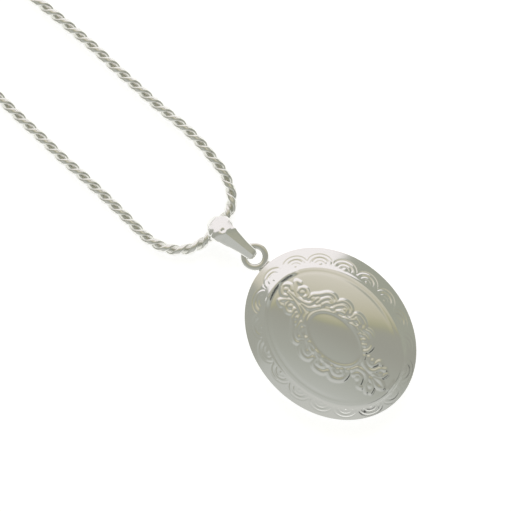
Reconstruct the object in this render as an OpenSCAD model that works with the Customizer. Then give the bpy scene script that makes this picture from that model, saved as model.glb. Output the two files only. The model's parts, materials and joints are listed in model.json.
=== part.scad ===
// Oval hinged locket on a tapered bail and a two-strand twisted chain.
// Millimetres. +Z points out of the front cover, +Y towards the bail and +X towards the catch.
// The origin is the middle of the flat on the back cover, which the locket lies on.

/* [Locket] */
// Width across the hinge and the catch
locket_w = 23.34; // [21:0.1:26]
// Height from the ring end to the foot
locket_h = 28.62; // [26:0.1:32]
// Depth of the back cover, up to the joint line
back_depth = 2.9; // [2.7:0.05:3.4]
// Height of the dome above the joint line
dome_h = 3.3; // [3:0.05:3.6]
// Half width of the flat on the back cover
flat_r = 7.4; // [6:0.1:8]
// Thickness of the stamped covers
sheet_t = 0.4; // [0.35:0.05:0.45]
// How far the lid opens, in degrees
lid_opening = 130; // [90:5:130]

/* [Hinge] */
// Length of the whole hinge barrel
hinge_len = 10.2; // [9:0.1:10.4]
// Outer radius of the barrel
barrel_r = 0.5; // [0.45:0.01:0.52]
// Radius of the hinge pin
pin_r = 0.25; // [0.2:0.01:0.28]

/* [Ring and bail] */
// Outer diameter of the ring soldered on top
ring_od = 4.37; // [4.2:0.01:4.5]
// Thickness of the ring's wire
ring_wire = 1.07; // [1:0.01:1.1]
// Width of the bail at its wide end
bail_w = 4.28; // [4.1:0.02:4.4]
// Thickness of the bail's folded sheet
bail_t = 0.45; // [0.4:0.01:0.5]
// Angle that the bail leans to the left, in degrees
bail_lean = 7; // [5:1:9]

/* [Chain] */
// Thickness of the twisted chain
chain_d = 1.75; // [1.7:0.01:1.8]
// Outer diameter of the spring-ring clasp
clasp_od = 5.5; // [5.4:0.05:5.6]

/* [Hidden] */
$fn = 192;

// Oval: radii are taken across the locket, and stretched by this ratio along it
oval_ratio = locket_h / locket_w;
edge_r = locket_w / 2;
joint_gap = 0.03;        // half of the gap between the closed halves
through = 9;             // taller than anything that a cut passes through
joint_z = back_depth;
front_z = joint_z + joint_gap;
back_z = joint_z - joint_gap;

// Front cover, heights above the joint line
edge_h = 0.45;           // upright edge
ridge_r = 8.86;          // oval ridge between the band and the dome
ridge_h = 2.0;
ridge_half_w = 0.4;
band_top_r = 9.3;
band_top_h = 1.6;
dome_foot_h = 1.75;
dome_steps = 8;

// Back cover
back_edge_h = 2.45;      // where the bowl turns into the upright edge
bowl_steps = 6;

// Rims, frames, windows and cards, as radii before stretching
rim_in_r = 8.95;
rim_t = 0.3;
frame_out_r = 8.85;
frame_in_r = 8.35;
frame_lip_r = 7.9;
frame_h = 0.95;
lip_t = 0.3;
window_r = 8.3;
window_t = 0.25;
card_t = 0.2;

// Hinge along the left edge, with three knuckles
hinge_x = -10.3;
bore_r = pin_r + 0.02;
knuckle_gap = 0.05;
barrel_gap = 0.06;
front_knuckle_len = hinge_len / 3;
leaf_in_x = -9.5;        // where the knuckles' leaves reach the rims
rim_cut_x = -9.6;
hinge_end_y = 6.9;       // beyond this the covers lie inside the hinge line
sweep_gap = 0.08;

// Catch on the right edge
catch_w = 3;
tongue_x = 10.25;
tongue_t = 0.25;
tongue_drop = 0.95;
tongue_gap = 0.1;        // room for the tongue in the back rim, along X
tongue_side_gap = 0.15;
plate_x = 9.75;
plate_t = 0.2;
plate_w = catch_w + 0.8;
plate_drop = 1;

// Ring, in the locket's own plane
ring_y = 16.42;
ring_z = 2.5;
ring_r = (ring_od - ring_wire) / 2;
foot_w = 2.4;            // solder between the ring and the back cover
foot_len = 0.8;
foot_z = 2;
foot_h = 0.8;
foot_bite = 0.05;

// Bail, drawn upright and then leaned about the middle of the ring
nose_y = 17.35;
nose_r = 1.1;
nose_w = 1.85;
wide_y = 23.2;
wide_r = 2.2;

// Chain: each half runs from the middle of the bail to the coil that stores its spare length
chain_r = chain_d / 2;
chain_sides = 8;
floor_z = chain_r;
coil_x = -3;
coil_y = 91.5;
coil_in_r = 7.2;
coil_out_r = 13.8;
right_route = [
    [-0.9, 23.7, 1.65], [1.3, 23.9, 1.65], [2.3, 24.2, 1.5], [3.2, 24.8, 1.3], [4, 25.6, 1.1],
    [4.9, 27.1, 0.9], [5.6, 29, floor_z], [5.9, 31.4, floor_z], [6.2, 34.5, floor_z],
    [6.1, 38.5, floor_z], [5.6, 43, floor_z], [5.3, 47.5, floor_z], [5, 52, floor_z],
    [4.8, 56.5, floor_z], [4.3, 62, floor_z], [3.7, 67.5, floor_z], [3.6, 71.5, floor_z],
    [4.5, 75.5, floor_z], [6.4, 80, floor_z], [8.4, 84.5, floor_z], [9.6, 88.5, floor_z]];
left_route = [
    [-0.9, 23.7, 1.65], [-3, 23.4, 1.65], [-4.2, 23.5, 1.5], [-5.4, 23.8, 1.3], [-6.7, 24.5, 1.1],
    [-8.1, 25.8, 0.9], [-9.2, 27.7, floor_z], [-9.8, 30.2, floor_z], [-9.9, 34.5, floor_z],
    [-10, 39, floor_z], [-10.2, 43.5, floor_z], [-10.5, 48, floor_z], [-10.6, 52, floor_z],
    [-10.8, 56, floor_z], [-10.9, 60.5, floor_z], [-11, 65, floor_z], [-10.6, 69.5, floor_z],
    [-9, 73.3, floor_z], [-6.2, 75.8, floor_z], [-3, 76.7, 1], [0.3, 77.1, 1.7],
    [3.2, 78.2, 2.5], [5.6, 80.3, 2.7]];

// Ends of the chain, inside the coil: each leaves its innermost turn on a tighter arc
turn_in_r = 8.1;
end_arc_r = 4.5;
end_y = 2.8;             // distance of the ends' straight lines from the coil's middle
end_arc_start = 180 - asin((end_arc_r - end_y) / (turn_in_r - end_arc_r));
end_arc_x = (turn_in_r - end_arc_r) * cos(end_arc_start);
end_arc_y = end_arc_r - end_y;
end_steps = 6;
cap_r = 1;
cap_len = 2.4;
cap_bore = 1.6;
cap_x = end_arc_x - 0.1;
cap_bore_gap = 0.04;
eye_r = 0.6;
eye_wire = 0.36;
eye_z = 0.85;
eye_bite = 0.1;
eye_x = cap_x + cap_len + eye_r - eye_bite;

// Spring-ring clasp and the tag ring that it closes on
clasp_wire = 1;
clasp_r = (clasp_od - clasp_wire) / 2;
clasp_x = 3.45;
clasp_z = 0.6;
clasp_bore_r = 0.37;
bolt_r = 0.33;
mouth_from = 25;
mouth_to = 80;
bolt_travel = 60;
bolt_from = 17;
bolt_to = 140;
thumb_at = 100;
thumb_r = 0.2;
thumb_len = 1;
loop_r = 0.5;
loop_wire = 0.34;
loop_bite = 0.1;
loop_x = loop_bite - (clasp_od + loop_wire) / 2 - loop_r;
tag_r = 1.5;
tag_wire = 0.7;
spring_from = 206;
spring_to = 250;
spring_turns = 5;
spring_wire_r = 0.05;
spring_coil_r = 0.26;

// Height of the dome's outer face above the joint line at radius r
function dome_at(r) = dome_foot_h + (dome_h - dome_foot_h) * (1 - pow(r / ridge_r, 2));

// Radius of the space that the lid's edge sweeps about the hinge line, at y along it
function sweep_at(y) =
    norm([edge_r * sqrt(max(0, 1 - pow(2 * y / locket_h, 2))) + hinge_x, edge_h]) + sweep_gap;

// A turned shell stretched to an oval, made in quarters
module oval_turned() {
    scale([1, oval_ratio, 1])
        for (quarter = [0:3])
            rotate([0, 0, 90 * quarter]) rotate_extrude(angle = 90) children();
}

module oval_plate(r, t) {
    linear_extrude(t) scale([r, r * oval_ratio]) circle(1);
}

module oval_ring(out_r, in_r, t) {
    difference() {
        oval_plate(out_r, t);
        translate([0, 0, -1]) oval_plate(in_r, through);
    }
}

// ---- Covers -------------------------------------------------------------

module front_profile(drop, inset) {
    dome_r = ridge_r - ridge_half_w;
    crest = 0.15;        // half width of the ridge's top
    band_thinning = 0.4; // the cover thins towards its edge
    polygon(concat(
        [[0, -1], [0, dome_h - drop]],
        [for (i = [1:dome_steps]) let (r = dome_r * i / dome_steps) [r, dome_at(r) - drop]],
        [[ridge_r - crest, ridge_h - drop], [ridge_r + crest, ridge_h - drop],
         [band_top_r, band_top_h - drop], [edge_r - inset, edge_h - drop * band_thinning],
         [edge_r - inset, -1]]));
}

module back_profile(inset) {
    bowl_r = edge_r - flat_r - inset;
    bowl_h = back_edge_h - inset;
    polygon(concat(
        [[0, back_depth + 1], [0, inset]],
        [for (i = [0:bowl_steps]) let (a = 90 * i / bowl_steps)
            [flat_r + bowl_r * sin(a), inset + bowl_h * (1 - cos(a))]],
        [[edge_r - inset, back_depth + 1]]));
}

// The space about the hinge line that the lid's left edge swings through
module hinge_sweep() {
    steps = 8;
    translate([hinge_x, 0, joint_z]) rotate([90, 0, 0]) rotate_extrude()
        polygon(concat(
            [[0, -hinge_end_y]],
            [for (i = [-steps:steps]) let (y = hinge_end_y * i / steps) [sweep_at(y), y]],
            [[0, hinge_end_y]]));
}

module barrel_space() {
    translate([hinge_x, 0, joint_z]) rotate([90, 0, 0])
        cylinder(r = barrel_r + barrel_gap, h = hinge_len + 4 * barrel_gap, center = true);
}

module front_cover() {
    color([0.86, 0.86, 0.84]) difference() {
        translate([0, 0, joint_z]) oval_turned() difference() {
            front_profile(0, 0);
            front_profile(sheet_t, sheet_t);
            translate([0, -2]) square([edge_r + 1, 2 + joint_gap]);
        }
        barrel_space();
    }
}

module back_cover() {
    color([0.86, 0.86, 0.84]) difference() {
        scale([1, oval_ratio, 1]) rotate_extrude($fn = 80) difference() {
            back_profile(0);
            back_profile(sheet_t);
            translate([0, back_z]) square([edge_r + 1, 2]);
        }
        hinge_sweep();
    }
}

// ---- Rims that stiffen the two halves and hold the frames ----------------

module hinge_side_cut() {
    translate([-edge_r - 1, -hinge_end_y, 0])
        cube([edge_r + 1 + rim_cut_x, 2 * hinge_end_y, through]);
}

module rim_cuts() {
    hinge_side_cut();
    translate([tongue_x - tongue_gap, -catch_w / 2 - tongue_side_gap, 0])
        cube([tongue_t + 0.27 + tongue_gap, catch_w + 2 * tongue_side_gap, through]);
}

module front_rim() {
    color([0.84, 0.84, 0.82]) difference() {
        translate([0, 0, front_z]) oval_ring(edge_r - sheet_t - 0.05, rim_in_r, rim_t);
        hinge_side_cut();
    }
}

module back_rim() {
    color([0.84, 0.84, 0.82]) difference() {
        translate([0, 0, back_z - rim_t]) oval_ring(edge_r - sheet_t, rim_in_r, rim_t);
        rim_cuts();
    }
}

// ---- Hinge ---------------------------------------------------------------

module knuckle(from_y, len, leaf_z) {
    difference() {
        union() {
            translate([hinge_x, from_y + len, joint_z]) rotate([90, 0, 0])
                cylinder(r = barrel_r, h = len, $fn = 48);
            translate([hinge_x, from_y, joint_z + leaf_z])
                cube([leaf_in_x - hinge_x, len, rim_t]);
        }
        translate([hinge_x, from_y + len + 1, joint_z]) rotate([90, 0, 0])
            cylinder(r = bore_r, h = len + 2, $fn = 48);
    }
}

module front_hinge_knuckle() {
    color([0.8, 0.8, 0.79]) knuckle(-front_knuckle_len / 2, front_knuckle_len, joint_gap);
}

module back_hinge_knuckles() {
    len = (hinge_len - front_knuckle_len) / 2 - knuckle_gap;
    color([0.8, 0.8, 0.79]) {
        knuckle(-hinge_len / 2, len, -joint_gap - rim_t);
        knuckle(hinge_len / 2 - len, len, -joint_gap - rim_t);
    }
}

module hinge_pin() {
    color([0.7, 0.7, 0.7]) translate([hinge_x, hinge_len / 2, joint_z]) rotate([90, 0, 0])
        cylinder(r = pin_r, h = hinge_len, $fn = 48);
}

// ---- Catch ---------------------------------------------------------------

// A tongue that hangs from the front rim, and slides down outside the spring plate
module catch_tongue() {
    color([0.8, 0.8, 0.79])
        translate([tongue_x, -catch_w / 2, joint_z - tongue_drop])
            cube([tongue_t, catch_w, tongue_drop + joint_gap]);
}

module catch_spring_plate() {
    color([0.8, 0.8, 0.79])
        translate([plate_x, -plate_w / 2, back_z - rim_t - plate_drop])
            cube([plate_t, plate_w, plate_drop]);
}

// ---- Photo frames, windows and cards --------------------------------------

// An upright wall around the window, with a lip in front of it
module photo_frame() {
    difference() {
        oval_plate(frame_out_r, frame_h);
        translate([0, 0, lip_t]) oval_plate(frame_in_r, frame_h);
        translate([0, 0, -1]) oval_plate(frame_lip_r, through);
    }
}

module front_photo_frame() {
    color([0.85, 0.84, 0.8]) translate([0, 0, front_z]) photo_frame();
}

module back_photo_frame() {
    color([0.85, 0.84, 0.8]) translate([0, 0, back_z]) mirror([0, 0, 1]) photo_frame();
}

module front_window() {
    color([0.8, 0.9, 0.95, 0.4]) translate([0, 0, front_z + lip_t])
        oval_plate(window_r, window_t);
}

module back_window() {
    color([0.8, 0.9, 0.95, 0.4]) translate([0, 0, back_z - lip_t - window_t])
        oval_plate(window_r, window_t);
}

module front_photo_card() {
    color([0.94, 0.93, 0.9]) translate([0, 0, front_z + lip_t + window_t])
        oval_plate(window_r, card_t);
}

module back_photo_card() {
    color([0.94, 0.93, 0.9]) translate([0, 0, back_z - lip_t - window_t - card_t])
        oval_plate(window_r, card_t);
}

// ---- Ring and bail ---------------------------------------------------------

module wire_ring(r, wire) {
    rotate_extrude($fn = 64) translate([r, 0]) circle(d = wire, $fn = 32);
}

module top_ring() {
    color([0.84, 0.84, 0.83]) translate([0, ring_y, ring_z]) wire_ring(ring_r, ring_wire);
}

module ring_solder_foot() {
    color([0.84, 0.84, 0.83]) difference() {
        translate([-foot_w / 2, locket_h / 2 - foot_len / 2, foot_z]) cube([foot_w, foot_len, foot_h]);
        translate([0, 0, -1]) oval_plate(edge_r - foot_bite, through);
        translate([0, ring_y, ring_z]) wire_ring(ring_r, ring_wire);
    }
}

// Two circles joined by their outer tangents
module tapered_link(r1, r2, d) {
    a = acos((r1 - r2) / d);
    circle(r = r1, $fn = 64);
    translate([d, 0]) circle(r = r2, $fn = 64);
    polygon([
        [r1 * cos(a), r1 * sin(a)], [d + r2 * cos(a), r2 * sin(a)],
        [d + r2 * cos(a), -r2 * sin(a)], [r1 * cos(a), -r1 * sin(a)]]);
}

module lean_with_bail() {
    translate([0, ring_y, 0]) rotate([0, 0, bail_lean]) translate([0, -ring_y, 0]) children();
}

module bail_side() {
    rise = wide_r - ring_z;
    length = norm([wide_y - nose_y, rise]);
    translate([nose_y, ring_z]) rotate(atan2(rise, wide_y - nose_y)) difference() {
        tapered_link(nose_r, wide_r, length);
        tapered_link(nose_r - bail_t, wide_r - bail_t, length);
    }
}

module bail_plan() {
    tip_y = nose_y - 0.2;
    head_y = wide_y + 0.06;
    half = [[nose_w / 2, tip_y], [1.05, 18.6], [1.38, 20.3], [1.8, 21.6], [bail_w / 2, head_y - 0.26]];
    translate([0, tip_y]) circle(d = nose_w, $fn = 48);
    translate([0, head_y]) circle(d = bail_w, $fn = 48);
    polygon(concat(half, [for (i = [len(half) - 1:-1:0]) [-half[i].x, half[i].y]]));
}

module bail() {
    color([0.86, 0.86, 0.85]) lean_with_bail() intersection() {
        rotate([90, 0, 90]) linear_extrude(bail_w + 1, center = true) bail_side();
        linear_extrude(through, center = true) bail_plan();
    }
}

// ---- Chain -----------------------------------------------------------------

function along(route, i) =
    let (step = route[min(i + 1, len(route) - 1)] - route[max(i - 1, 0)]) step / norm(step);

function ring_about(point, direction, r) =
    let (side = cross(direction, [0, 0, 1]) / norm(cross(direction, [0, 0, 1])),
         up = cross(side, direction))
    [for (k = [0:chain_sides - 1]) let (a = 360 * (k + 0.5) / chain_sides)
        point + r * (cos(a) * side + sin(a) * up)];

module tube_along(route, r) {
    n = chain_sides;
    last = len(route) - 1;
    points = [for (i = [0:last]) each ring_about(route[i], along(route, i), r)];
    polyhedron(
        points = points,
        faces = concat(
            [[for (k = [0:n - 1]) k]],
            [for (i = [0:last - 1], k = [0:n - 1]) let (next = (k + 1) % n)
                [n * i + k, n * i + n + k, n * i + n + next, n * i + next]],
            [[for (k = [n - 1:-1:0]) n * last + k]]));
}

// The chain's last stretch, from its innermost turn into its end cap; start_z is the layer's height
function end_route(start_z) = concat(
    [for (i = [0:end_steps])
        let (part = i / end_steps, a = end_arc_start + (270 - end_arc_start) * part,
             z = start_z + (cap_r - start_z) * part * part * (3 - 2 * part))
        [end_arc_x + end_arc_r * cos(a), end_arc_y + end_arc_r * sin(a), z]],
    [[cap_x + cap_bore, -end_y, cap_r]]);

module at_coil(turn) {
    translate([coil_x, coil_y, 0]) rotate([0, 0, turn]) children();
}

module right_chain() {
    color([0.82, 0.82, 0.8]) {
        tube_along(right_route, chain_r);
        at_coil(0) tube_along(end_route(floor_z), chain_r);
    }
}

module left_chain() {
    color([0.82, 0.82, 0.8]) {
        tube_along(left_route, chain_r);
        at_coil(180) tube_along(end_route(3 * floor_z), chain_r);
    }
}

module coil_layer(from_z) {
    color([0.8, 0.8, 0.78]) translate([coil_x, coil_y, from_z]) rotate_extrude()
        translate([coil_in_r, 0]) square([coil_out_r - coil_in_r, chain_d]);
}

module right_chain_coil() {
    coil_layer(0);
}

module left_chain_coil() {
    coil_layer(chain_d);
}

module end_cap() {
    translate([cap_x, -end_y, cap_r]) rotate([0, 90, 0]) difference() {
        cylinder(r = cap_r, h = cap_len, $fn = 32);
        translate([0, 0, -1]) cylinder(r = chain_r + cap_bore_gap, h = cap_bore + 1, $fn = 32);
    }
    translate([eye_x, -end_y, eye_z]) rotate([90, 0, 0]) wire_ring(eye_r, eye_wire);
}

module right_end_cap() {
    color([0.8, 0.8, 0.79]) at_coil(0) end_cap();
}

module left_end_cap() {
    color([0.8, 0.8, 0.79]) at_coil(180) end_cap();
}

module tag_ring() {
    color([0.82, 0.82, 0.81]) at_coil(180)
        translate([eye_x + tag_r, -end_y, eye_z - 0.1]) wire_ring(tag_r, tag_wire);
}

// ---- Spring-ring clasp --------------------------------------------------------

module at_clasp() {
    at_coil(0) translate([clasp_x, -end_y, clasp_z]) children();
}

module arc_of(from, to) {
    rotate([0, 0, from]) rotate_extrude(angle = to - from, $fn = 64) translate([clasp_r, 0])
        children();
}

module clasp_body() {
    slot_w = 0.5;
    slot_end = 8;        // room for the thumb past each end of its travel, in degrees
    color([0.82, 0.82, 0.8]) at_clasp() difference() {
        arc_of(mouth_to, mouth_from + 360) difference() {
            circle(d = clasp_wire, $fn = 32);
            circle(r = clasp_bore_r, $fn = 32);
        }
        rotate([0, 0, thumb_at - slot_end])
            rotate_extrude(angle = bolt_travel + 2 * slot_end, $fn = 64)
            translate([clasp_r, -slot_w / 2]) square([1, slot_w]);
    }
}

module clasp_loop() {
    color([0.82, 0.82, 0.8]) at_clasp()
        translate([loop_x, 0, 0]) wire_ring(loop_r, loop_wire);
}

module clasp_bolt() {
    color([0.78, 0.78, 0.77]) at_clasp() union() {
        arc_of(bolt_from, bolt_to) circle(r = bolt_r, $fn = 32);
        rotate([0, 0, thumb_at]) translate([clasp_r, 0, 0]) rotate([0, 90, 0])
            cylinder(r = thumb_r, h = thumb_len, $fn = 24);
    }
}

module clasp_spring() {
    steps = 10 * spring_turns;
    route = [for (i = [0:steps])
        let (a = spring_from + (spring_to - spring_from) * i / steps, b = 360 * spring_turns * i / steps,
             r = clasp_r + spring_coil_r * cos(b))
        [r * cos(a), r * sin(a), spring_coil_r * sin(b)]];
    color([0.6, 0.6, 0.6]) at_clasp() tube_along(route, spring_wire_r);
}

front_cover();
back_cover();
front_rim();
back_rim();
front_hinge_knuckle();
back_hinge_knuckles();
hinge_pin();
catch_tongue();
catch_spring_plate();
front_photo_frame();
back_photo_frame();
front_window();
back_window();
front_photo_card();
back_photo_card();
top_ring();
ring_solder_foot();
bail();
right_chain();
left_chain();
right_chain_coil();
left_chain_coil();
right_end_cap();
left_end_cap();
tag_ring();
clasp_body();
clasp_loop();
clasp_bolt();
clasp_spring();
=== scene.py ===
"""An oval embossed locket on a tapered bail and a twisted two-strand chain, lying on its back."""

import json
import math

import bmesh
import bpy
import numpy as np
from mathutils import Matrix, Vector


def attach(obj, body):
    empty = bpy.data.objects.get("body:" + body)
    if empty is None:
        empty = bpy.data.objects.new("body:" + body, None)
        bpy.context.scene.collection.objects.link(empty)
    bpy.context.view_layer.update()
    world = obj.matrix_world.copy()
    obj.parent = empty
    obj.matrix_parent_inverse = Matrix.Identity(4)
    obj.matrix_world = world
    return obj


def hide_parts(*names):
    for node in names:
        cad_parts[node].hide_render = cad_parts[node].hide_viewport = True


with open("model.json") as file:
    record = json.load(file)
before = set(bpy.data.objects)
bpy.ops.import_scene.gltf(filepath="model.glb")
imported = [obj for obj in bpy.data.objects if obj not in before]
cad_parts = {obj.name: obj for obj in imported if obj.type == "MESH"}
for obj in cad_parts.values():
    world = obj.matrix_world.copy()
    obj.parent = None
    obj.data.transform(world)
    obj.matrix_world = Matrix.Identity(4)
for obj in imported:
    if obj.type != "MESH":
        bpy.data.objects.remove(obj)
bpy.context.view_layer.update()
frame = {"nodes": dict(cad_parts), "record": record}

# Lengths are in millimetres, unless MM takes them to metres. The locket lies on its back at the origin:
# y runs from its foot to its ring, and z upwards
MM = 0.001
FAR = 99.0                     # further away than anything on the locket
RING = (0.0, 16.42, 2.5)       # middle of the ring that the bail holds


# ---- Camera ---------------------------------------------------------------------

# The view: straight down, with the bail towards the upper left
VIEW_CENTRE = (0.19, 16.34)
VIEW_TURN = math.radians(-44.45)
VIEW_WIDTH = 77.8
LENS = 100.0
SENSOR = 36.0
VIEW_PLANE_Z = 3.0


def add_camera():
    data = bpy.data.cameras.new("camera")
    data.lens, data.sensor_width = LENS, SENSOR
    data.clip_start, data.clip_end = 0.001, 10
    cam = bpy.data.objects.new("camera", data)
    bpy.context.scene.collection.objects.link(cam)
    distance = VIEW_WIDTH * MM * LENS / SENSOR
    cam.location = (VIEW_CENTRE[0] * MM, VIEW_CENTRE[1] * MM, VIEW_PLANE_Z * MM + distance)
    cam.rotation_euler = (0, 0, VIEW_TURN)
    bpy.context.scene.camera = cam


add_camera()


# ---- Materials ------------------------------------------------------------------

# How fine the noise is, in features per metre
DRIFT_GRAIN = 260
SCRATCH_GRAIN = 3200
CARD_GRAIN = 2500
WINDOW_GRAIN = 500


def new_material(name):
    mat = bpy.data.materials.new(name)
    mat.use_nodes = True
    tree = mat.node_tree
    return mat, tree, tree.nodes["Principled BSDF"]


def noise(tree, scale, detail=2.0, stretch=(1, 1, 1)):
    """Noise in the object's own coordinates, scale in features per metre."""
    coord = tree.nodes.new("ShaderNodeTexCoord")
    mapping = tree.nodes.new("ShaderNodeMapping")
    mapping.inputs["Scale"].default_value = stretch
    tex = tree.nodes.new("ShaderNodeTexNoise")
    tex.inputs["Scale"].default_value = scale
    tex.inputs["Detail"].default_value = detail
    tree.links.new(coord.outputs["Object"], mapping.inputs["Vector"])
    tree.links.new(mapping.outputs["Vector"], tex.inputs["Vector"])
    return tex.outputs["Fac"]


def ramp(tree, fac, low, high):
    node = tree.nodes.new("ShaderNodeMapRange")
    node.inputs["To Min"].default_value, node.inputs["To Max"].default_value = low, high
    tree.links.new(fac, node.inputs["Value"])
    return node.outputs["Result"]


def metal(name, colour, rough, wear=0.04, scratch=0.02, lines=(1, 1, 1)):
    """Polished metal: roughness drifts over the surface, with faint handling scratches as bump."""
    mat, tree, shader = new_material(name)
    shader.inputs["Base Color"].default_value = (*colour, 1)
    shader.inputs["Metallic"].default_value = 1
    drift = ramp(tree, noise(tree, DRIFT_GRAIN), rough, rough + wear)
    tree.links.new(drift, shader.inputs["Roughness"])
    bump = tree.nodes.new("ShaderNodeBump")
    bump.inputs["Strength"].default_value = scratch
    bump.inputs["Distance"].default_value = 0.02 * MM
    tree.links.new(noise(tree, SCRATCH_GRAIN, 4, lines), bump.inputs["Height"])
    tree.links.new(bump.outputs["Normal"], shader.inputs["Normal"])
    return mat


def card_material():
    mat, tree, shader = new_material("blank_card")
    mix = tree.nodes.new("ShaderNodeMix")
    mix.data_type = "RGBA"
    mix.inputs["A"].default_value = (0.86, 0.84, 0.78, 1)
    mix.inputs["B"].default_value = (0.93, 0.92, 0.88, 1)
    tree.links.new(noise(tree, CARD_GRAIN, 6), mix.inputs["Factor"])
    tree.links.new(mix.outputs["Result"], shader.inputs["Base Color"])
    shader.inputs["Roughness"].default_value = 0.85
    return mat


def window_material():
    mat, tree, shader = new_material("clear_window")
    shader.inputs["Base Color"].default_value = (0.95, 0.97, 0.98, 1)
    shader.inputs["Alpha"].default_value = 0.12
    shader.inputs["IOR"].default_value = 1.46
    tree.links.new(ramp(tree, noise(tree, WINDOW_GRAIN), 0.02, 0.06), shader.inputs["Roughness"])
    return mat


BY_SLOT = {
    "silver_plate": metal("silver_plate", (0.89, 0.89, 0.87), 0.11),
    "silver_satin": metal("silver_satin", (0.84, 0.84, 0.82), 0.24, 0.1, 0.08, (1, 12, 1)),
    "silver_chain": metal("silver_chain", (0.87, 0.87, 0.84), 0.16),
    "steel_wire": metal("steel_wire", (0.56, 0.56, 0.56), 0.3, 0.1, 0.05),
    "blank_card": card_material(),
    "clear_window": window_material()}
SLOT_OF = {row["node"]: row["material_slot"] for row in frame["record"]["subparts"]}
BODY_OF = {node: body for body, nodes in frame["record"]["behaviour"]["bodies"].items() for node in nodes}


# ---- Mesh and curve helpers -----------------------------------------------------

def add_mesh(name, points, faces, stands_for):
    """A piece from points in millimetres; it rides with the first CAD node that it stands for."""
    mesh = bpy.data.meshes.new(name)
    mesh.from_pydata([tuple(c * MM for c in p) for p in points], [], faces)
    mesh.update()
    bm = bmesh.new()
    bm.from_mesh(mesh)
    bmesh.ops.recalc_face_normals(bm, faces=bm.faces)
    bm.to_mesh(mesh)
    bm.free()
    mesh.polygons.foreach_set("use_smooth", [True] * len(mesh.polygons))
    obj = bpy.data.objects.new(name, mesh)
    bpy.context.scene.collection.objects.link(obj)
    obj.data.materials.append(BY_SLOT[SLOT_OF[stands_for[0]]])
    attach(obj, BODY_OF[stands_for[0]])
    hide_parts(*stands_for)
    return obj


def sharpen(obj, degrees):
    """Edges that fold more than this stay crisp."""
    bm = bmesh.new()
    bm.from_mesh(obj.data)
    for e in bm.edges:
        e.smooth = len(e.link_faces) != 2 or e.calc_face_angle(0) < math.radians(degrees)
    bm.to_mesh(obj.data)
    bm.free()


def smoothstep(a, b, x):
    t = np.clip((x - a) / (b - a), 0, 1)
    return t * t * (3 - 2 * t)


def soft_ramp(t, width):
    """Nothing below -width, t itself above width, and a curve between them."""
    return max(0.0, t) if abs(t) >= width else (t + width)**2 / (4 * width)


def hump(distance, width):
    """A soft hump: 1 at its middle, and nearly nothing two widths away."""
    return np.exp(-(distance / width)**2)


def squared(angle, power):
    """The cosine and sine of an angle, drawn out towards a square as the power falls below 1."""
    return [math.copysign(abs(c)**power, c) for c in (math.cos(angle), math.sin(angle))]


def distances(line):
    """How far along a polyline each of its points is."""
    return np.concatenate([[0], np.cumsum(np.linalg.norm(np.diff(line, axis=0), axis=1))])


def even(line, step):
    """The same polyline with points at even steps."""
    along = distances(line)
    at = np.linspace(0, along[-1], max(2, round(along[-1] / step) + 1))
    return np.stack([np.interp(at, along, line[:, k]) for k in range(line.shape[1])], 1)


def smooth_line(points, step, span_points=24):
    """A Catmull-Rom curve through the points, with points at even steps."""
    p = np.array(points, float)
    p = np.vstack([2 * p[0] - p[1], p, 2 * p[-1] - p[-2]])
    t = np.linspace(0, 1, span_points, endpoint=False)[:, None]
    dense = [
        0.5 * (2 * b + (c - a) * t + (2 * a - 5 * b + 4 * c - d) * t**2 + (3 * b - a - 3 * c + d) * t**3)
        for a, b, c, d in zip(p, p[1:], p[2:], p[3:])]
    return even(np.vstack([*dense, p[-2]]), step)


def frames_along(line):
    """Unit vectors to the side of a line and upwards from it, at each of its points."""
    tangent = np.gradient(line, axis=0)
    tangent /= np.linalg.norm(tangent, axis=1)[:, None]
    side = np.cross(tangent, [0, 0, 1])
    side /= np.linalg.norm(side, axis=1)[:, None]
    return side, np.cross(side, tangent)


def loop_faces(low, high):
    """Quads between two closed loops of the same length."""
    m = len(low)
    return [(low[k], high[k], high[(k + 1) % m], low[(k + 1) % m]) for k in range(m)]


def tube_faces(rings, sides, first=0):
    """The walls and flat ends of a tube whose rings of points follow one another."""
    loops = [range(first + i * sides, first + (i + 1) * sides) for i in range(rings)]
    walls = [face for low, high in zip(loops, loops[1:]) for face in loop_faces(low, high)]
    return [*walls, tuple(loops[0]), tuple(loops[-1])]


def hoop_faces(rings, sides):
    """The walls of a tube that closes on itself."""
    loops = [range(i * sides, (i + 1) * sides) for i in range(rings)]
    return [face for low, high in zip(loops, loops[1:] + loops[:1]) for face in loop_faces(low, high)]


# ---- Chain ----------------------------------------------------------------------

# The chain: two strands of three wires, twisted
CHAIN_D = 1.75
TWIST_PITCH = 4.5
TWIST_START = 1.1              # angle of the twist at the bail
STEPS_PER_TWIST = 22
STRAND_R = 0.455
STRAND_SIDES = 14
LAY_R = 0.42                   # distance of each strand's middle from the chain's
WIRES = 3
GROOVE = 0.28                  # depth of the grooves between the wires, for each unit of the strand's radius
GROOVE_TWIST = -1.0            # turns of the wires for each turn of the strands
SLACK_ENDS = (45, 55)          # by the bail the chain is slack, and past these lengths it's pulled close
SLACK_SWELL = 0.15
SLACK_LIFT = 0.13

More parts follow.
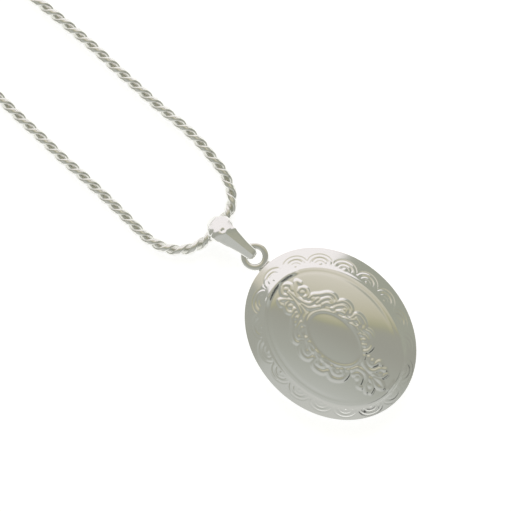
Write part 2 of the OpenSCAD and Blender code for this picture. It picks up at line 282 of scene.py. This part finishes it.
# The coil that takes up the chain's spare length
COIL = (-3.0, 91.5)
COIL_TURNS = 2
COIL_PITCH = 1.86
COIL_POINTS = 24               # for each turn
JOIN_ANGLE = 1.3               # the route eases into the coil over this angle
TURN_IN_R = 8.1                # innermost turn
END_ARC_R = 4.5
END_ARC_POINTS = 8
END_Y = 2.8                    # distance of the end caps from the coil's middle line
CAP_R = 1.0
CAP_BORE = 1.6
CAP_GAP = 0.2                  # the strand stops this far short of the bore's end
FLOOR_Z = CHAIN_D / 2
RIGHT_ROUTE = [
    (-0.9, 23.7, 1.65), (1.3, 23.9, 1.65), (2.3, 24.2, 1.5), (3.2, 24.8, 1.3), (4, 25.6, 1.1),
    (4.9, 27.1, 0.9), (5.6, 29, FLOOR_Z), (5.9, 31.4, FLOOR_Z), (6.2, 34.5, FLOOR_Z),
    (6.1, 38.5, FLOOR_Z), (5.6, 43, FLOOR_Z), (5.3, 47.5, FLOOR_Z), (5, 52, FLOOR_Z),
    (4.8, 56.5, FLOOR_Z), (4.3, 62, FLOOR_Z), (3.7, 67.5, FLOOR_Z), (3.6, 71.5, FLOOR_Z),
    (4.5, 75.5, FLOOR_Z), (6.4, 80, FLOOR_Z), (8.4, 84.5, FLOOR_Z), (9.6, 88.5, FLOOR_Z)]
LEFT_ROUTE = [
    (-0.9, 23.7, 1.65), (-3, 23.4, 1.65), (-4.2, 23.5, 1.5), (-5.4, 23.8, 1.3), (-6.7, 24.5, 1.1),
    (-8.1, 25.8, 0.9), (-9.2, 27.7, FLOOR_Z), (-9.8, 30.2, FLOOR_Z), (-9.9, 34.5, FLOOR_Z),
    (-10, 39, FLOOR_Z), (-10.2, 43.5, FLOOR_Z), (-10.5, 48, FLOOR_Z), (-10.6, 52, FLOOR_Z),
    (-10.8, 56, FLOOR_Z), (-10.9, 60.5, FLOOR_Z), (-11, 65, FLOOR_Z), (-10.6, 69.5, FLOOR_Z),
    (-9, 73.3, FLOOR_Z), (-6.2, 75.8, FLOOR_Z), (-3, 76.7, 1), (0.3, 77.1, 1.7),
    (3.2, 78.2, 2.5), (5.6, 80.3, 2.7)]


def spiral_in(start, end_angle, z):
    """From the route's last point, wind inwards round the coil to its innermost turn."""
    rel = np.array(start[:2]) - COIL
    a0, r0 = math.atan2(rel[1], rel[0]), float(np.hypot(*rel))
    total = (end_angle - a0) % (2 * math.pi) + 2 * math.pi * COIL_TURNS
    widen = COIL_PITCH / (2 * math.pi)
    count = COIL_POINTS * (COIL_TURNS + 1) - 1
    points = []
    for i in range(1, count + 1):
        angle = total * i / count
        ease = max(0.0, 1 - angle / JOIN_ANGLE)**2
        r = TURN_IN_R + widen * (total - angle) + (r0 - TURN_IN_R - widen * total) * ease
        points.append((COIL[0] + r * math.cos(a0 + angle), COIL[1] + r * math.sin(a0 + angle),
                       z + (start[2] - z) * ease))
    return points


def end_points(turn, z):
    """The tighter arc from the innermost turn to the straight that enters the end cap."""
    start = math.pi - math.asin((END_ARC_R - END_Y) / (TURN_IN_R - END_ARC_R))
    cx, cy = (TURN_IN_R - END_ARC_R) * math.cos(start), END_ARC_R - END_Y
    points = []
    for i in range(1, END_ARC_POINTS + 1):
        part = i / END_ARC_POINTS
        a = start + (1.5 * math.pi - start) * part
        points.append((cx + END_ARC_R * math.cos(a), cy + END_ARC_R * math.sin(a),
                       z + (CAP_R - z) * float(smoothstep(0, 1, part))))
    points.append((cx + CAP_BORE - CAP_GAP, -END_Y, CAP_R))
    c, s = math.cos(turn), math.sin(turn)
    return [(COIL[0] + c * x - s * y, COIL[1] + s * x + c * y, h) for x, y, h in points], start + turn


def chain_line(route, turn, layer_z):
    end, end_angle = end_points(turn, layer_z)
    wound = spiral_in(route[-1], end_angle % (2 * math.pi), layer_z)
    return smooth_line([*route, *wound, *end], TWIST_PITCH / STEPS_PER_TWIST)


def chain_piece(name, line, stands_for):
    side, up = frames_along(line)
    along = np.linspace(0, distances(line)[-1], len(line))
    twist = 2 * math.pi * along / TWIST_PITCH + TWIST_START
    slack = 1 - smoothstep(*SLACK_ENDS, along)
    swell = (1 + SLACK_SWELL * slack)[:, None]
    line = line + np.outer(slack, (0, 0, SLACK_LIFT))
    points, faces = [], []
    for a in (twist[:, None], twist[:, None] + math.pi):
        strand = line + LAY_R * swell * (np.cos(a) * side + np.sin(a) * up)
        strand_side, strand_up = frames_along(strand)
        rings = []
        for k in range(STRAND_SIDES):
            b = 2 * math.pi * k / STRAND_SIDES
            groove = GROOVE * (0.5 + 0.5 * np.cos(WIRES * (b + GROOVE_TWIST * a)))
            rings.append(strand + STRAND_R * swell * (1 - groove)
                         * (math.cos(b) * strand_side + math.sin(b) * strand_up))
        faces += tube_faces(len(line), STRAND_SIDES, sum(len(block) for block in points))
        points.append(np.stack(rings, 1).reshape(-1, 3))
    obj = add_mesh(name, np.vstack(points), faces, stands_for)


# the left strand's coil lies on the right one's, and its end comes in from the other side
chain_piece("right_chain_strand", chain_line(RIGHT_ROUTE, 0, FLOOR_Z),
            ("right_chain", "right_chain_coil"))
chain_piece("left_chain_strand", chain_line(LEFT_ROUTE, math.pi, FLOOR_Z + CHAIN_D),
            ("left_chain", "left_chain_coil"))


# ---- Embossed front cover -------------------------------------------------------

# The shell. Distances past the ridge run outwards from it, on to the band
EDGE = (11.67, 14.31)          # half axes of the outline
RIDGE = (8.86, 11.64)          # half axes of the ridge between the band and the dome
RIDGE_Y = -0.43                # the ridge sits a little towards the foot
JOINT_Z = 2.9                  # where the two halves meet
JOINT_GAP = 0.03
SHEET = 0.4                    # thickness of the stamped metal
INNER_WALL = 0.32              # height of the upright inside the edge
HOLLOW_RINGS = (0.93, 0.86, 0.8, 0.72, 0.5, 0.25)      # shares of the inner outline
HOLLOW_RISE = 12               # the hollow rises from the upright no faster than this
COVER_GRID = 286               # points across the cover each way
EDGE_H = 0.45                  # this and the next three are heights above the joint
BAND_TOP_H = 1.76
DOME_FOOT_H = 1.86
DOME_H = 3.3
BAND_CURVE = 1.05              # 1 is a flat slope
FOOT = (-4, -10)               # y where the foot of the locket begins, and where it's in full
STEP = (-0.4, 0.4)             # the dome turns into the band between these distances past the ridge
STEP_FOOT = 0.5                # and over this much more at the foot
BEAD_H = 0.045                 # the fine bead along the ridge, lower at the foot
BEAD_FOOT_H = 0.025
BEAD_PAST, BEAD_W = 0.05, 0.32
MOAT = 0.03                    # depth of the groove inside the bead
MOAT_PAST, MOAT_W = -0.6, 0.34

# The ridge stands taller over a short stretch by the ring, and a little over another at the foot.
# Each stretch has a middle, sides where it fades, and a shape: distance past the ridge, share of the lift
RING_LIFT, RING_LIFT_X = 0.38, -0.45
RING_LIFT_SIDES = (2.3, 3.7)
RING_LIFT_FROM = (4, 8)
RING_LIFT_SHAPE = ((-0.66, 0), (-0.12, 1), (0.1, 1), (1.6, 0))
FOOT_LIFT, FOOT_LIFT_X = 0.1, 1
FOOT_LIFT_SIDES = (0.5, 1.2)
FOOT_LIFT_SHAPE = ((-0.5, 0), (0, 1), (0.3, 0))

# The cartouche on the dome
CARTOUCHE = (-0.1, -0.7)       # middle of the plain oval
PLAQUE = (3.15, 4.95)          # half axes of the rim round the plain oval
SWELL = 0.085                  # the plain oval bulges this much
RIM_H, RIM_W = 0.1, 0.26
OUTER_RIM_H, OUTER_RIM_W = 0.04, 0.2
OUTER_RIM_PAST = 0.52          # distance of the outer rim past the first one
SCROLL_SHEAR = 0.075           # the left half sits lower than the right
SCROLL_PAD = 0.07              # raised ground under the scrolls
SCROLL_PAD_SIDES = (0.22, 0.5)
SCROLL_RIB, SCROLL_RIB_W = 0.055, 0.2  # rib along each scroll
SCROLL_STEP = 0.12
CURL_DOT_R = 0.1

# The scallops on the band
SCALLOPS = 18
SCALLOP_TURN = math.radians(1.8)
SCALLOP_OVAL = (9.4, 12.35)    # half axes of the line of dots that the scallops stand on
SCALLOP_REACH = 2.6
DOT_H, DOT_W = 0.06, 0.2
ARCHES = ((1.85, 1.35), (1.1, 0.82))   # half width and rise of the arches over each dot
ARCH_CUT, ARCH_W = 0.05, 0.12
ARCH_FEET = (-0.05, 0.25)      # the arches fade in between these distances outwards of the dot
LIP, LIP_IN, LIP_W = 0.6, 0.24, 0.13   # raised lip inside each cut, as a share of the cut
BAND_FROM = (0.35, 0.6)        # the relief fades in between these distances past the ridge
BAND_TO = (-0.35, 0.0)         # and out between these distances past the edge
SCALLOP_WEAR = 0.6             # the scallops are this much fainter at the lower right
WEAR_DOWN, WEAR_RIGHT = (-4, -9), (-4, 1)


def near_line(x, y, line):
    """Distance of each grid point from a polyline."""
    best = np.full(x.shape, FAR)
    for (ax, ay), (bx, by) in zip(line, line[1:]):
        dx, dy = bx - ax, by - ay
        t = np.clip(((x - ax) * dx + (y - ay) * dy) / max(dx * dx + dy * dy, 1e-9), 0, 1)
        best = np.minimum(best, np.hypot(x - ax - t * dx, y - ay - t * dy))
    return best


def oval_gap(x, y, axes, cy=0.0):
    """Distance outside an oval, roughly; it's negative inside."""
    f = np.hypot(x / axes[0], (y - cy) / axes[1])
    slope = np.hypot(x / axes[0]**2, (y - cy) / axes[1]**2) / np.maximum(f, 1e-6)
    return (f - 1) / np.maximum(slope, 1e-6)


def oval_dome(x, y, axes, cy=0.0):
    """1 in the middle of an oval, falling to 0 at its outline."""
    return np.clip(1 - (x / axes[0])**2 - ((y - cy) / axes[1])**2, 0, 1)


def base_height(x, y):
    """The plain stamped form above the joint line: sloping band, ridge and dome."""
    past = oval_gap(x, y, RIDGE, RIDGE_Y)             # distance past the ridge, on to the band
    on_band, to_edge = np.clip(past, 0, None), np.clip(-oval_gap(x, y, EDGE), 0, None)
    share = on_band / np.maximum(on_band + to_edge, 1e-6)
    band = EDGE_H + (BAND_TOP_H - EDGE_H) * (1 - share**BAND_CURVE)
    dome = DOME_FOOT_H + (DOME_H - DOME_FOOT_H) * oval_dome(x, y, RIDGE, RIDGE_Y)
    at_foot = smoothstep(*FOOT, y)
    step = smoothstep(STEP[0], STEP[1] + STEP_FOOT * at_foot, past)
    bead = (BEAD_H + (BEAD_FOOT_H - BEAD_H) * at_foot) * hump(past - BEAD_PAST, BEAD_W)
    moat = MOAT * (1 - at_foot) * hump(past - MOAT_PAST, MOAT_W)
    by_ring = (1 - smoothstep(*RING_LIFT_SIDES, np.abs(x - RING_LIFT_X))) * smoothstep(*RING_LIFT_FROM, y)
    by_foot = (1 - smoothstep(*FOOT_LIFT_SIDES, np.abs(x - FOOT_LIFT_X))) * at_foot
    lift = RING_LIFT * by_ring * np.interp(past, *zip(*RING_LIFT_SHAPE))
    lift += FOOT_LIFT * by_foot * np.interp(past, *zip(*FOOT_LIFT_SHAPE))
    return dome * (1 - step) + band * step + bead - moat + lift


# Scrollwork of the cartouche: lines that make its right half, and the left half mirrors them
SCROLLS = [
    [(1.5, 6.2), (2.3, 6.0), (3.1, 5.3), (4.1, 4.5), (4.5, 3.6), (4.3, 2.9), (3.8, 2.8)],
    [(1.9, 4.7), (2.8, 4.5), (3.6, 4.0), (3.8, 3.4), (3.4, 3.0)],
    [(2.3, 4.0), (2.9, 3.7), (3.2, 3.2)],
    [(4.1, 2.6), (4.9, 2.0), (5.2, 1.1), (5.0, 0.3), (4.4, -0.1)],
    [(3.0, 2.5), (3.8, 2.1), (4.5, 1.4), (4.5, 0.7), (4.0, 0.6)],
    [(3.1, 1.7), (3.6, 1.2), (3.8, 0.6)],
    [(4.1, -0.6), (4.9, -0.8), (5.2, -1.6), (4.9, -2.7), (4.3, -3.2)],
    [(3.3, 0.1), (3.6, -0.5), (4.1, -1.1), (4.4, -1.6), (4.1, -2.2), (3.7, -2.0)],
    [(3.4, -1.2), (3.5, -1.9), (3.4, -2.6)],
    [(4.2, -3.3), (4.5, -4.2), (4.1, -5.1), (3.3, -5.8), (2.4, -5.8), (1.9, -5.5)],
    [(3.3, -3.2), (3.6, -3.9), (3.4, -4.7), (2.8, -5.1), (2.5, -4.7)],
    [(0.1, 9.0), (0.2, 8.0), (0.35, 7.1), (0.6, 6.2), (1.1, 5.5), (1.9, 5.3), (2.5, 5.1)],
    [(0.15, 6.4), (0.4, 5.3), (1.1, 4.7), (1.8, 4.2)],
    [(0.4, 7.7), (0.9, 8.4), (1.5, 9.0), (2.0, 9.2), (2.2, 8.6)],
    [(1.0, 8.1), (1.8, 8.0), (2.2, 7.3), (1.8, 6.6), (1.2, 6.7)],
    [(0.0, 10.4), (0.5, 10.1), (0.9, 9.5), (0.6, 8.9)],
    [(1.4, -5.9), (0.7, -6.3), (0.4, -7.1), (0.4, -7.9), (0.9, -8.6), (1.7, -9.0), (2.2, -9.7)],
    [(1.7, -6.5), (1.2, -6.9), (1.2, -7.6), (1.8, -8.0), (2.4, -8.2), (2.3, -8.7)],
    [(0.5, -8.7), (0.6, -9.4), (1.2, -10.1), (1.8, -10.3)],
    [(0.2, -9.2), (0.5, -10.1), (0.35, -10.8), (0.0, -11.3)],
]
CURL_DOTS = [(0.0, 9.6), (1.4, 7.5), (1.9, 5.6), (3.6, 3.3), (4.2, 0.9), (4.4, -1.2), (3.1, -4.3),
             (1.6, -7.3), (1.1, -9.5)]


def placed(points, side):
    return [(side * x + CARTOUCHE[0], y + SCROLL_SHEAR * side * x) for x, y in points]


def cartouche_relief(x, y):
    """The scrolls and the double rim round the plain oval, and the swell of the oval itself."""
    gap = np.full(x.shape, FAR)                       # distance from the nearest scroll or dot
    for line in [smooth_line(placed(s, side), SCROLL_STEP) for s in SCROLLS for side in (1, -1)]:
        low, high = line.min(0) - 1, line.max(0) + 1
        near = (x > low[0]) & (x < high[0]) & (y > low[1]) & (y < high[1])
        gap[near] = np.minimum(gap[near], near_line(x[near], y[near], line))
    for side in (1, -1):
        for dx, dy in placed(CURL_DOTS, side):
            gap = np.minimum(gap, np.hypot(x - dx, y - dy) - CURL_DOT_R)
    cx, cy = x - CARTOUCHE[0], y - CARTOUCHE[1]
    past_rim = oval_gap(cx, cy, PLAQUE)
    scrolls = SCROLL_PAD * (1 - smoothstep(*SCROLL_PAD_SIDES, gap)) + SCROLL_RIB * hump(gap, SCROLL_RIB_W)
    rims = RIM_H * hump(past_rim, RIM_W) + OUTER_RIM_H * hump(past_rim - OUTER_RIM_PAST, OUTER_RIM_W)
    return scrolls * smoothstep(-0.1, 0.2, past_rim) + rims + SWELL * oval_dome(cx, cy, PLAQUE)


def band_relief(x, y):
    """Scallops along the band: a dot with two arches cut over it, at even steps round an oval."""
    height = np.zeros(x.shape)
    angles = np.linspace(0, 2 * math.pi, 2000)
    oval = np.stack([SCALLOP_OVAL[0] * np.sin(angles), SCALLOP_OVAL[1] * np.cos(angles)], 1)
    along = distances(oval)
    for i in range(SCALLOPS):
        at = (i / SCALLOPS - SCALLOP_TURN / (2 * math.pi)) % 1 * along[-1]
        a = float(np.interp(at, along, angles))
        px, py = SCALLOP_OVAL[0] * math.sin(a), RIDGE_Y + SCALLOP_OVAL[1] * math.cos(a)
        out = Vector((math.sin(a) / SCALLOP_OVAL[0], math.cos(a) / SCALLOP_OVAL[1])).normalized()
        near = np.hypot(x - px, y - py) < SCALLOP_REACH
        u = (x[near] - px) * out.y - (y[near] - py) * out.x      # along the band
        v = (x[near] - px) * out.x + (y[near] - py) * out.y      # outwards
        height[near] += DOT_H * hump(np.hypot(u, v), DOT_W)
        for arch in ARCHES:
            gap = oval_gap(u, v, arch)
            cut = hump(gap, ARCH_W) - LIP * hump(gap + LIP_IN, LIP_W)
            height[near] -= ARCH_CUT * cut * smoothstep(*ARCH_FEET, v)
    return height


def front_height(x, y):
    on_band = smoothstep(*BAND_FROM, oval_gap(x, y, RIDGE, RIDGE_Y))
    on_band *= 1 - smoothstep(*BAND_TO, oval_gap(x, y, EDGE))
    worn = SCALLOP_WEAR * smoothstep(*WEAR_DOWN, y) * smoothstep(*WEAR_RIGHT, x)
    return base_height(x, y) + cartouche_relief(x, y) + band_relief(x, y) * on_band * (1 - worn)


def front_cover():
    """The relief on top, a narrow rim and an upright wall under its edge, and the hollow inside."""
    s, t = np.meshgrid(np.linspace(-1, 1, COVER_GRID), np.linspace(-1, 1, COVER_GRID), indexing="ij")
    x, y = EDGE[0] * s * np.sqrt(1 - t * t / 2), EDGE[1] * t * np.sqrt(1 - s * s / 2)
    points = np.stack([x, y, JOINT_Z + front_height(x, y)], -1).reshape(-1, 3).tolist()
    index = np.arange(COVER_GRID**2).reshape(COVER_GRID, COVER_GRID)
    corners = [index[:-1, :-1], index[1:, :-1], index[1:, 1:], index[:-1, 1:]]
    faces = np.stack(corners, -1).reshape(-1, 4).tolist()
    outline = [*index[:, 0], *index[-1, 1:], *index[-2::-1, -1], *index[0, -2:0:-1]]
    edge = np.array([points[i][:2] for i in outline])
    wall = edge * [1 - SHEET / EDGE[0], 1 - SHEET / EDGE[1]]
    base, top = JOINT_Z + JOINT_GAP, JOINT_Z + INNER_WALL
    layers = [(xy, np.full(len(xy), z)) for xy, z in ((edge, base), (wall, base), (wall, top))]
    for part in HOLLOW_RINGS:
        xy = wall * part
        ceiling = JOINT_Z + base_height(xy[:, 0], xy[:, 1]) - SHEET
        layers.append((xy, np.minimum(ceiling, top + (1 - part) * HOLLOW_RISE)))
    loops = [outline]
    for xy, z in layers:
        loops.append(range(len(points), len(points) + len(outline)))
        points += np.column_stack([xy, z]).tolist()
    for low, high in zip(loops, loops[1:]):
        faces += loop_faces(low, high)
    faces += [(low, after, len(points)) for low, after in zip(loops[-1], [*loops[-1][1:], loops[-1][0]])]
    points.append((0, 0, JOINT_Z + DOME_H - SHEET))
    sharpen(add_mesh("embossed_front_cover", points, faces, ["front_cover"]), 50)


front_cover()


# ---- Bail -----------------------------------------------------------------------

# The bail before it leans: a folded strip round two circles, whose middles are given as y and z
BAIL_LEAN = math.radians(7)
NOSE, NOSE_R = (17.35, 2.5), 1.1       # narrow end, round the ring
WIDE, WIDE_R = (23.2, 2.2), 2.2        # wide end, round the chain
HALF_WIDTHS = ((17.15, 0.925), (18.6, 1.06), (20.3, 1.36), (21.8, 1.62))    # y, half width
HEAD_PLAN = (23.26, 2.14)              # y and radius of the head, seen from above
BAIL_SHEET = 0.45
BAIL_STEP = 0.1
BAIL_ACROSS = 41                       # points across the strip
CREASE = 0.36                          # height of the crease, for each unit of half width
CREASE_FADE = (22.3, 24.5)
HEAD_PAST = -0.6                       # middle of the dome, along the strip from the wide end's top
HEAD_SIDE = -0.35                      # middle of the dome, across the strip
HEAD_LONG = 2.6
HEAD_WIDE = 2.8
HEAD_H = 0.4
SLANT_FROM = (-0.1, 22.4)              # from here the head falls away to one side
SLANT_WAY = (0.53, 0.848)
SLANT = 0.55
SLANT_END = 0.9                        # the slope levels out over this distance
SLANT_EASE = 0.35
BARREL = (0.5, 0.2)                    # how round the head is across, left and right of the crease
BARREL_FADE = (21.2, 23)
TOP_ONLY = (-0.6, 0.2)                 # the rounding fades out under the strip, where its face looks down
PINCH = (0.06, 22.67)                  # a small dimple where the crease runs into the head
PINCH_SIZE = (0.28, 0.26)
PINCH_DEPTH = 0.34
EDGE_ROUND = 0.12                      # the strip's edges are rounded down by this much
EDGE_ROUND_FROM = 0.8                  # share of the half width where that begins
EDGE_ROUND_BACK = 0.2                  # and its share on the inner face


def bail_outline():
    """Points round the strip from the side, at even steps: y, z and the way that its face looks."""
    dy, dz = WIDE[0] - NOSE[0], WIDE[1] - NOSE[1]
    tilt, spread = math.atan2(dz, dy), math.acos((NOSE_R - WIDE_R) / math.hypot(dy, dz))
    corners = []
    for (cy, cz), r, start, end, count in (
            (WIDE, WIDE_R, tilt + spread, tilt - spread, 25),
            (NOSE, NOSE_R, tilt - spread, tilt + spread - 2 * math.pi, 15)):
        corners += [np.array((cy + r * math.cos(a), cz + r * math.sin(a), math.cos(a), math.sin(a)))
                    for a in np.linspace(start, end, count)]
    outline = []
    for here, after in zip(corners, corners[1:] + corners[:1]):
        steps = max(1, int(np.hypot(*(after - here)[:2]) / BAIL_STEP))
        outline += [here + k / steps * (after - here) for k in range(steps)]
    return outline


def bail_half_width(y):
    (nose_y, nose_half), (neck_y, _) = HALF_WIDTHS[0], HALF_WIDTHS[-1]
    if y < nose_y:
        return math.sqrt(max(0.1, nose_half**2 - (nose_y - y)**2))
    if y > neck_y:
        return math.sqrt(max(0.3, HEAD_PLAN[1]**2 - (y - HEAD_PLAN[0])**2))
    return float(np.interp(y, *zip(*HALF_WIDTHS)))


def bail_crown(t, half, y, ny, nz):
    """How far the strip stands out at t, from -1 to 1 across it, where its face looks along ny and nz."""
    x, front = half * t, max(0.0, nz)
    past = y - WIDE[0]
    if past > 0:
        past = WIDE_R * max(0.0, math.pi / 2 - math.atan2(nz, ny))
    tent = CREASE * half * (1 - abs(t)) * front * (1 - smoothstep(*CREASE_FADE, y))
    away = ((past - HEAD_PAST) / HEAD_LONG)**2 + ((x - HEAD_SIDE) / HEAD_WIDE)**2
    dome = HEAD_H * max(0.0, 1 - away)**2 if nz > -0.2 else 0
    ahead = SLANT_WAY[0] * (x - SLANT_FROM[0]) + SLANT_WAY[1] * (min(y, WIDE[0] + 0.6) - SLANT_FROM[1])
    slant = SLANT * SLANT_END * math.tanh(soft_ramp(ahead, SLANT_EASE) / SLANT_END) * front
    barrel = BARREL[0 if t < 0 else 1] * (WIDE_R - math.sqrt(max(0.2, WIDE_R**2 - x**2)))
    barrel *= smoothstep(*BARREL_FADE, y) * smoothstep(*TOP_ONLY, nz)
    pinch = PINCH_DEPTH * hump(x - PINCH[0], PINCH_SIZE[0]) * hump(y - PINCH[1], PINCH_SIZE[1]) * front
    return (tent**3 + dome**3)**(1 / 3) - slant - barrel - pinch


def bail():
    """A folded strip round the ring and the chain: creased down the front, domed at its wide end."""
    points, loops = [], []
    for y, z, ny, nz in bail_outline():
        half = bail_half_width(y)
        outer, inner = [], []
        for t in np.linspace(-1, 1, BAIL_ACROSS):
            rounding = EDGE_ROUND * max(0, (abs(t) - EDGE_ROUND_FROM) / (1 - EDGE_ROUND_FROM))**2
            crown = bail_crown(t, half, y, ny, nz)
            front, back = crown - rounding, crown - BAIL_SHEET + EDGE_ROUND_BACK * rounding
            outer.append((half * t, y + ny * front, z + nz * front))
            inner.append((half * t, y + ny * back, z + nz * back))
        loops.append(range(len(points), len(points) + 2 * BAIL_ACROSS))
        points += outer + inner[::-1]
    c, s = math.cos(BAIL_LEAN), math.sin(BAIL_LEAN)
    leaned = [(c * x - s * (y - RING[1]), RING[1] + s * x + c * (y - RING[1]), z) for x, y, z in points]
    sharpen(add_mesh("creased_bail", leaned, hoop_faces(len(loops), 2 * BAIL_ACROSS), ["bail"]), 24)


bail()


# ---- Ring and foot --------------------------------------------------------------

RING_R = 1.65
RING_WIRE_R = 0.53
RING_SQUARE = 0.7              # how square the wire is: 1 is round
FOOT_SQUARE = 0.6              # the same for the solder foot


def ring(around=96, sides=28):
    """A closed ring of wire, slightly flattened on its four sides."""
    points = []
    for i in range(around):
        a = 2 * math.pi * i / around
        for k in range(sides):
            out, up = squared(2 * math.pi * k / sides, RING_SQUARE)
            r = RING_R + RING_WIRE_R * out
            points.append((RING[0] + r * math.cos(a), RING[1] + r * math.sin(a), RING[2] + RING_WIRE_R * up))
    add_mesh("soldered_ring", points, hoop_faces(around, sides), ["top_ring"])


def solder_foot(sections=9, sides=24):
    """A fillet of solder that narrows from the locket's edge to the ring."""
    start_y, length, z = 13.95, 1.1, 2.4
    start_w, narrows, start_h, thickens = 1.3, 0.3, 0.42, 0.06
    points = []
    for part in np.linspace(0, 1, sections):
        half_w, half_h = start_w - narrows * math.sin(part * math.pi / 2), start_h + thickens * part
        for k in range(sides):
            across, up = squared(2 * math.pi * k / sides, FOOT_SQUARE)
            points.append((half_w * across, start_y + length * part, z + half_h * up))
    add_mesh("soldered_foot", points, tube_faces(sections, sides), ["ring_solder_foot"])


ring()
solder_foot()


# ---- CAD nodes that keep their shape --------------------------------------------

for node, obj in frame["nodes"].items():
    obj.data.materials.clear()
    obj.data.materials.append(BY_SLOT[SLOT_OF[node]])


# ---- Floor, light and sky -------------------------------------------------------

def floor():
    mat, tree, shader = new_material("pale_floor")
    shader.inputs["Base Color"].default_value = (0.5, 0.5, 0.5, 1)
    shader.inputs["Roughness"].default_value = 0.9
    shader.inputs["Specular IOR Level"].default_value = 0.1
    shader.inputs["Emission Color"].default_value = (1, 1, 1, 1)
    shader.inputs["Emission Strength"].default_value = 0.76
    mesh = bpy.data.meshes.new("floor")
    size, z = 1.5, -0.02 * MM
    mesh.from_pydata([(-size, -size, z), (size, -size, z), (size, size, z), (-size, size, z)],
                     [], [(0, 1, 2, 3)])
    obj = bpy.data.objects.new("floor", mesh)
    obj.data.materials.append(mat)
    bpy.context.scene.collection.objects.link(obj)


# The room round the locket. Its places along a direction are cosines, from -1 behind to 1 ahead
FOOT_LEFT = (-0.82, -0.57, 0)
BEYOND_BAIL = (0.682, 0.732, 0)
ROOM = [(-1, (0.33, 0.33, 0.28)), (0, (0.355, 0.355, 0.31)), (0.35, (0.41, 0.42, 0.375)),
        (0.65, (0.53, 0.54, 0.51)), (1, (0.6, 0.6, 0.57))]
WARM_WALL = [(0.10, (0.37, 0.37, 0.22)), (0.2, (0.53, 0.50, 0.38)), (0.35, (0.62, 0.59, 0.49)),
             (0.55, (0.74, 0.70, 0.62)), (1, (0.9, 0.86, 0.84))]
# flat panels over the wall: direction, where the edge starts and ends, colour
PANELS = [((1, 0, 0), 0.61, 0.67, (0.37, 0.38, 0.32)),
          ((-0.707, 0.707, 0), 0.64, 0.69, (0.39, 0.395, 0.35)),
          ((0.53, 0.848, 0), 0.595, 0.635, (0.97, 0.93, 0.935))]
# the doorway lies within all three of these
DOORWAY = [((0, -1, 0), 0.74, 0.78), ((0, 0, -1), -0.65, -0.61), ((0, 0, 1), 0.48, 0.52)]
DOORWAY_DARK = (0.03, 0.03, 0.03)


def sky():
    """A grey room: a warm wall beyond the bail, a white panel above it, and a dark doorway at the foot."""
    world = bpy.data.worlds.new("sky")
    bpy.context.scene.world = world
    world.use_nodes = True
    tree = world.node_tree
    coord = tree.nodes.new("ShaderNodeTexCoord")

    def towards(direction):
        dot = tree.nodes.new("ShaderNodeVectorMath")
        dot.operation = "DOT_PRODUCT"
        dot.inputs[1].default_value = direction
        tree.links.new(coord.outputs["Generated"], dot.inputs[0])
        return dot.outputs["Value"]

    def shades(direction, stops):
        place = tree.nodes.new("ShaderNodeMapRange")
        place.inputs["From Min"].default_value = -1
        tree.links.new(towards(direction), place.inputs["Value"])
        colours = tree.nodes.new("ShaderNodeValToRGB")
        elements = colours.color_ramp.elements
        while len(elements) < len(stops):
            elements.new(0.5)
        for element, (at, colour) in zip(elements, stops):
            element.position, element.color = (at + 1) / 2, (*colour, 1)
        tree.links.new(place.outputs["Result"], colours.inputs["Fac"])
        return colours.outputs["Color"]

    def mask(direction, start, end):
        edge = tree.nodes.new("ShaderNodeMapRange")
        edge.interpolation_type = "SMOOTHSTEP"
        edge.inputs["From Min"].default_value, edge.inputs["From Max"].default_value = start, end
        tree.links.new(towards(direction), edge.inputs["Value"])
        return edge.outputs["Result"]

    def within(masks):
        whole = masks[0]
        for one in masks[1:]:
            both = tree.nodes.new("ShaderNodeMath")
            both.operation = "MULTIPLY"
            tree.links.new(whole, both.inputs[0])
            tree.links.new(one, both.inputs[1])
            whole = both.outputs["Value"]
        return whole

    def over(below, above, factor):
        mix = tree.nodes.new("ShaderNodeMix")
        mix.data_type = "RGBA"
        tree.links.new(factor, mix.inputs["Factor"])
        tree.links.new(below, mix.inputs["A"])
        if isinstance(above, tuple):
            mix.inputs["B"].default_value = (*above, 1)
        else:
            tree.links.new(above, mix.inputs["B"])
        return mix.outputs["Result"]

    room = over(shades(FOOT_LEFT, ROOM), shades(BEYOND_BAIL, WARM_WALL), mask(BEYOND_BAIL, 0.08, 0.13))
    for direction, start, end, colour in PANELS:
        room = over(room, colour, mask(direction, start, end))
    room = over(room, DOORWAY_DARK, within([mask(*side) for side in DOORWAY]))
    tree.links.new(room, tree.nodes["Background"].inputs["Color"])


def key_light():
    place, aim = Vector((0.32, 0.36, 0.42)), Vector((0, 0.02, 0))
    data = bpy.data.lights.new("key", "AREA")
    data.shape, data.size, data.energy = "DISK", 0.35, 0.8
    obj = bpy.data.objects.new("key", data)
    obj.location = place
    obj.visible_glossy = False
    obj.rotation_euler = (aim - place).to_track_quat("-Z", "Y").to_euler()
    bpy.context.scene.collection.objects.link(obj)


floor()
sky()
key_light()
bpy.context.scene.view_settings.view_transform = "Standard"
